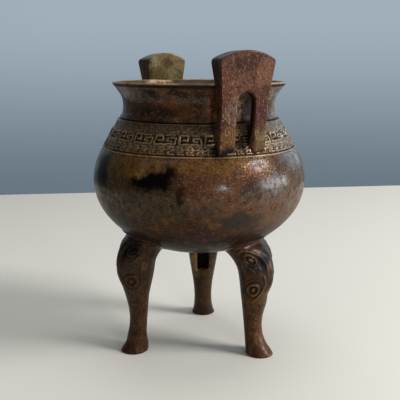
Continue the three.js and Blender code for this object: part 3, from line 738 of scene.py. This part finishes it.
def mask_relief(turn, height, eye_turn, curl_turn, crisp):
    """The mask on both cheeks: height of its relief in millimetres, and how it shows, from 0 in a hollow to 1 on
    an edge. Each mark is a raised line or a round rise in coordinates laid on the cheek about the eye or the curl,
    and a mask that isn't crisp has lower lines."""
    turn = np.abs(turn)
    eye_x, eye_y = (np.radians(eye_turn) - turn) * EYE_REACH, height - EYE_HEIGHT
    curl_x, curl_y = (np.radians(curl_turn) - turn) * CURL_REACH, height - CURL_HEIGHT
    eye_far, curl_far = np.hypot(eye_x, eye_y), np.hypot(curl_x, curl_y)
    eye_open = 1 - 0.9 * hump(np.arctan2(eye_y, eye_x), 2.5, 0.45)
    curl_open = 1 - 0.9 * hump(np.arctan2(curl_y, curl_x), -2.4, 0.5)
    bulge = hump(eye_far, 0, EYE_BULGE)
    ring = thread(np.abs(eye_far - EYE_RING[0]), EYE_RING[1]) * eye_open
    pupil = 1 - step_up(eye_far, *PUPIL)
    socket = hump(eye_far, 2.3, 0.6) + 0.8 * hump(eye_far, 5.0, 0.7)
    pit = hump(eye_x, 6.6, 2.3) * hump(eye_y, -2.0, 5.0)
    marks = [tall * thread(line_distance(eye_x, eye_y, line), width) for line, tall, width in EYE_LINES]
    marks += [tall * thread(line_distance(curl_x, curl_y, line), width) for line, tall, width in CURL_LINES]
    lines = np.maximum.reduce(marks)
    curl = thread(np.abs(curl_far - CURL_RING[0]), CURL_RING[1]) * curl_open
    heart = 1 - step_up(curl_far, *CURL_HEART)
    dip = hump(curl_far, 2.5, 0.7) + 0.7 * hump(curl_far, 5.9, 0.8)
    eye_marks = 0.85 * ring + 0.7 * pupil - 0.4 * socket
    curl_marks = 0.85 * curl + 0.4 * heart - 0.4 * dip
    rise = bulge - 1.4 * pit + crisp * (eye_marks + 0.8 * lines + curl_marks)
    raised = np.maximum.reduce([ring, pupil, lines, curl, heart])
    return rise, PLAIN + 0.24 * crisp * raised - 0.4 * np.clip(socket + dip + 1.2 * pit, 0, 1) * (1 - raised)


def on_wall(below, clear):
    """Points moved along their rays from the belly's centre to stand clear of its outer face by a distance."""
    reach = np.linalg.norm(below, axis=-1)
    surface = reach / np.linalg.norm(below / [BELLY_RADIUS, BELLY_RADIUS, BELLY_DROP], axis=-1)
    return below * ((surface + clear(reach - surface)) / reach)[..., None]


def leg(name, azimuth, lift, slim, bow, eye_turn, curl_turn, pad, crisp):
    """A leg as rings of an oval whose front, back and half width change with height, and whose ankle may bow out.
    The mask is added along the oval's own normal, the pocket is pressed into the back, and at the top the skin turns
    to follow the belly."""
    height = np.linspace(0, LEG_TOP, LEG_ROWS)[:, None]
    turn = (np.arange(LEG_COLUMNS) * 2 * np.pi / LEG_COLUMNS)[None, :]
    turn = np.where(turn > np.pi, turn - 2 * np.pi, turn)
    front = flow(LEG_FRONT, height) - slim * step_up(height, *SLIM_FROM)
    back, half = flow(LEG_BACK, height), flow(LEG_HALF, height)
    bowed = bow * step_up(height, *BOW_LOW) * (1 - step_up(height, *BOW_HIGH))
    middle, deep = (front + back) / 2 + bowed, (front - back) / 2
    nose = step_up(height, *NOSE_LOW) * (1 - step_up(height, *NOSE_HIGH))
    rise, seen = mask_relief(turn, height, eye_turn, curl_turn, crisp)
    rise = rise + NOSE_RAISE * nose * np.clip(np.cos(turn), 0, 1) ** NOSE_SHARPNESS
    normal_out, normal_side = half * np.cos(turn), deep * np.sin(turn)
    length = np.hypot(normal_out, normal_side)
    out = middle + deep * np.cos(turn) + rise * normal_out / length
    side = half * np.sin(turn) + rise * normal_side / length
    bent = height + POCKET_LEAN * side
    pocket = step_up(bent, *POCKET_LOW) * (1 - step_up(bent, *POCKET_HIGH))
    pocket = pocket * (1 - step_up(np.abs(side), *POCKET_HALF)) * (np.cos(turn) < 0)
    out = out + pocket * np.clip(POCKET_FLOOR - out, 0, None)
    seen = np.clip(seen - 0.5 * step_up(pocket, 0.6, 1.0), 0, 1)
    up = np.broadcast_to(height + lift * step_up(height, 0, 40), out.shape)

    below = np.stack([out, side, up - BELLY_HEIGHT], 2)
    pad_here = pad * (0.35 + 0.65 * np.clip(np.cos(turn), 0, 1))
    wanted = pad_here - (pad_here + WALL / 2) * step_up(height, PAD_EDGE, PAD_EDGE + 0.9)

    def settled(clear):
        """The larger of the leg's and the pad's distance from the belly, with a fillet between the two."""
        blend = np.clip(0.5 + (clear - wanted) / FILLET, 0, 1)
        fillet = FILLET / 2 * blend * (1 - blend) * (1 - step_up(height, PAD_EDGE - 4, PAD_EDGE))
        return wanted * (1 - blend) + clear * blend + fillet

    below = on_wall(below, settled)
    below[0, :, :2] = np.stack([middle[0] + SOLE * (out[0] - middle[0]), SOLE * side[0]], 1)
    centre = below[-1].mean(0)
    caps = centre + CAP_RINGS[:, None, None] * (below[-1] - centre)
    caps = on_wall(caps, lambda clear: -WALL / 2)
    below = np.concatenate([below, caps])
    seen = np.concatenate([seen, np.full(caps.shape[:2], 0.4)])
    along = np.radians(azimuth)
    points = np.stack([
        below[..., 0] * np.cos(along) - below[..., 1] * np.sin(along),
        below[..., 0] * np.sin(along) + below[..., 1] * np.cos(along),
        below[..., 2] + BELLY_HEIGHT,
    ], 2)
    ends = [points[0].mean(0)[None], points[-1].mean(0)[None]]
    return skin(name, [ends[0], *points, ends[1]], [np.array([0.4]), *seen, np.array([0.4])])


LEG_TONES = (
    tone(36, 20, 9),
    tone(54, 32, 16),
    tone(82, 44, 16),
    tone(44, 28, 22),
    tone(8, 5, 3),
    tone(156, 112, 64),
)
LEG_STAINS = [
    ((50, 24, 12), 14, 18, tone(86, 54, 28), 0.7),
    ((46, 26, 3), 16, 5, tone(70, 49, 32), 0.6),
    ((40, 18, 14), 6, 16, tone(40, 24, 12), 0.6),
    ((5, -52, 16), 12, 14, tone(62, 36, 18), 0.5),
    ((7, -54, 60), 14, 26, tone(48, 37, 20), 0.5),
    ((13, -48, 64), 3, 4, tone(110, 78, 32), 0.35),
    ((12, -46, 20), 3, 6, tone(108, 72, 28), 0.35),
    ((-36.6, 15, 47), 4, 14, tone(150, 116, 66), 0.8),
    ((50, 20, 44), 10, 6, tone(76, 60, 24), 0.7),
    ((55, 20, 70), 6, 6, tone(24, 23, 26), 0.8),
    ((-36, 22, 24), 12, 22, tone(70, 54, 28), 0.6),
    ((-38.6, 17, 54), 3.5, 11, tone(124, 96, 46), 0.7),
    ((46, 22, 84), 20, 6, tone(64, 33, 22), 0.6),
    ((52, 18, 66), 7, 5, tone(34, 27, 24), 0.6),
    ((50, 16, 36), 7, 8, tone(72, 46, 24), 0.6),
    ((-38, 22, 3), 14, 6, tone(38, 22, 11), 0.7),
]
LEG_SCORCH = [
    ((11, -55, 77), 5, 4, BLACK, 0.9),
    ((9, -55, 55), 3, 2.5, tone(26, 20, 14), 0.7),
    ((51.5, 23.5, 70.5), 4, 5, tone(16, 16, 18), 0.85),
    ((49, 27, 75), 4, 4, tone(26, 25, 26), 0.7),
    ((52, 17, 66), 5, 4.5, tone(28, 23, 22), 0.7),
]
LEG_GRIT = [((50, 24, 20), 16, 24, 0.36), ((6, -50, 40), 16, 40, 0.22)]
LEG_WAX = (-2, 0, 0.2)
LEG_SHINE = 0.1
leg_bronze = bronze("leg_bronze", LEG_TONES, LEG_STAINS, LEG_SCORCH, LEG_GRIT, LEG_WAX, LEG_SHINE)
for sizes in LEGS:
    made = leg(*sizes)
    made.data.materials.append(leg_bronze)
    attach(made, "root")
    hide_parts("ding_vessel")

# Floor: a plain pale top that the vessel stands on, wide enough to fill the picture below the vessel, with a
# straight far edge behind it.
FLOOR_TURN = np.radians(161)
FLOOR_ALONG = np.array([0.575, 0.575, -0.6, -0.6])
FLOOR_ACROSS = np.array([-0.7, 0.7, 0.7, -0.7])
floor_x = FLOOR_ALONG * np.cos(FLOOR_TURN) - FLOOR_ACROSS * np.sin(FLOOR_TURN)
floor_y = FLOOR_ALONG * np.sin(FLOOR_TURN) + FLOOR_ACROSS * np.cos(FLOOR_TURN)
floor_mesh = bpy.data.meshes.new("floor")
floor_mesh.from_pydata(np.stack([floor_x, floor_y, 0 * floor_x], 1).tolist(), [], [[0, 1, 2, 3]])
floor = bpy.data.objects.new("floor", floor_mesh)
bpy.context.scene.collection.objects.link(floor)
floor_paint = bpy.data.materials.new("pale_floor")
floor_paint.use_nodes = True
floor_shader = floor_paint.node_tree.nodes["Principled BSDF"]
floor_shader.inputs["Base Color"].default_value = tone(229, 219, 205)
floor_shader.inputs["Roughness"].default_value = 0.9
floor_mesh.materials.append(floor_paint)

# Light: a soft window high on the right with a low one under it and a bluish one behind them, a small one near the
# camera, a faint one on the left and a dim ceiling, in a pale blue-grey room that is darker behind the camera.
LOW_WALL = tone(104, 119, 130)
HIGH_WALL = tone(160, 175, 185)
LIT_WALL = (-0.574, 0.819, 0.1)
DIM = 0.22
LIGHT_TARGET = [0, 0, 0.12]
world = bpy.data.worlds.new("room")
bpy.context.scene.world = world
world.use_nodes = True
backdrop = world.node_tree.nodes["Background"]
direction = Wire(world.node_tree).node("ShaderNodeTexCoord", {}, {}, "Generated")
rise = direction.node("ShaderNodeSeparateXYZ", {}, {0: direction}, 2).between(-0.2, 0.08)
room = direction.node("ShaderNodeMix", {"data_type": "RGBA"}, {0: rise, 6: LOW_WALL, 7: HIGH_WALL}, 2)
world.node_tree.links.new(room.socket, backdrop.inputs["Color"])
lit_side = direction.moved("DOT_PRODUCT", LIT_WALL, 1).between(-0.2, 0.8)
world.node_tree.links.new((DIM + (1 - DIM) * lit_side).socket, backdrop.inputs["Strength"])


def window(name, azimuth, elevation, distance, size, power, colour=(0.93, 0.97, 1.0)):
    """A rectangular area light at an azimuth and elevation in degrees round the vessel's middle, turned towards it.
    Its distance and size are in metres and its power in watts."""
    lamp = bpy.data.lights.new(name, "AREA")
    lamp.shape = "RECTANGLE"
    lamp.size, lamp.size_y = size
    lamp.energy = power
    lamp.color = colour
    made = bpy.data.objects.new(name, lamp)
    turn, rise = np.radians(azimuth), np.radians(elevation)
    offset = distance * np.array([np.cos(rise) * np.cos(turn), np.cos(rise) * np.sin(turn), np.sin(rise)])
    made.location = offset + LIGHT_TARGET
    made.rotation_euler = (np.pi / 2 - rise, 0, turn + np.pi / 2)
    bpy.context.scene.collection.objects.link(made)


window("high_window", 48, 31, 1.8, (0.6, 0.5), 27)
window("low_window", 58, 1, 0.95, (0.55, 0.2), 3.4)
window("front_window", -3, 5, 0.9, (0.12, 0.07), 1.5)
window("ceiling", 150, 80, 1.3, (0.9, 0.9), 5)
window("left_window", -75, 50, 1.3, (0.9, 0.9), 1.2)
window("side_window", 108, 14, 1.2, (0.55, 0.5), 0.9, (0.7, 0.86, 1.0))

# Camera: a little above the height of the lip, on the near ear's side, looking slightly down at the vessel's
# middle, with colours shown as they are.
CAMERA_PLACE = (0.4131, -0.2024, 0.202)
CAMERA_DOWN = 11.86
CAMERA_TURN = 63.9
camera_data = bpy.data.cameras.new("camera")
camera_data.sensor_width = 36.0
camera_data.lens = 58.5
camera_data.shift_x = 0.0025
camera = bpy.data.objects.new("camera", camera_data)
camera.location = CAMERA_PLACE
camera.rotation_euler = (np.radians(90 - CAMERA_DOWN), 0, np.radians(CAMERA_TURN))
bpy.context.scene.collection.objects.link(camera)
bpy.context.scene.camera = camera
bpy.context.scene.view_settings.view_transform = "Standard"
